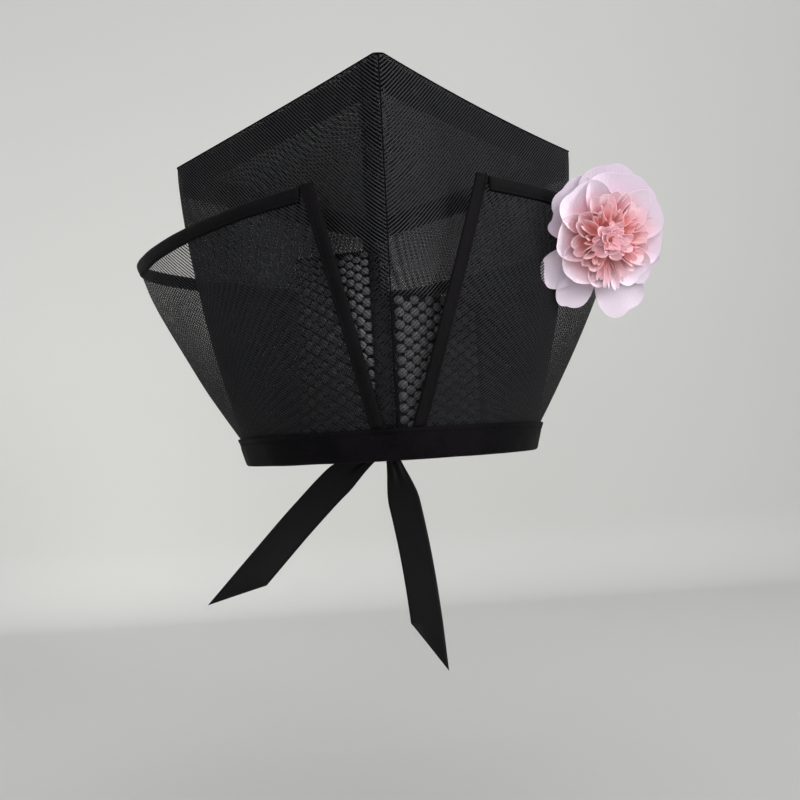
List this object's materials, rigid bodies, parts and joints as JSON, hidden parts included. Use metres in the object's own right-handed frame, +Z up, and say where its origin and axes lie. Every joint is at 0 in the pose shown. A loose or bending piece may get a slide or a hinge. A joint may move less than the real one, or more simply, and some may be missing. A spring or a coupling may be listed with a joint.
{
  "type": "scholar hat",
  "caption": "Black gauze scholar's hat: flat square crown on an oval band, flared lower outer wall open in a V at the front, ribbon ties behind, cloth flower on the rim.",
  "frame": {"origin": "centre of the head opening, in the plane of the headband's lower edge, where the hat sits on the head", "axes": "+Z up along the hat's axis, -Y towards the front (the V and the front ridge), +X towards the viewer's right, the side with the flower"},
  "size_m": [0.2888, 0.2678, 0.3342],
  "materials": {
    "gauze": "matte black open diagonal weave",
    "band_cloth": "plain black cotton satin, slight sheen",
    "net": "matte black honeycomb net",
    "ribbon": "black satin ribbon",
    "petal_outer": "pale lilac pink dyed petal cloth",
    "petal_inner": "coral pink petal cloth, paler at the edges",
    "calyx": "moulded green",
    "clip": "black enamelled spring clip"
  },
  "bodies": {
    "root": {"headband": "band_cloth", "crown_wall_left": "gauze", "crown_wall_right": "gauze", "crown_top": "gauze", "top_facing_left": "gauze", "top_facing_right": "gauze", "ridge_seam_front": "gauze", "ridge_seam_back": "gauze", "outer_wall_left": "gauze", "outer_wall_right": "gauze", "outer_back_seam": "gauze", "rim_tape_left": "band_cloth", "rim_tape_right": "band_cloth", "v_tape_left": "band_cloth", "v_tape_right": "band_cloth", "net_lining": "net", "tie_knot": "ribbon", "tie_left": "ribbon", "tie_right": "ribbon", "petal_layer_1": "petal_outer", "petal_layer_2": "petal_outer", "petal_layer_3": "petal_inner", "petal_layer_4": "petal_inner", "flower_centre": "petal_inner", "flower_calyx": "calyx", "flower_clip": "clip"}
  },
  "joints": []
}
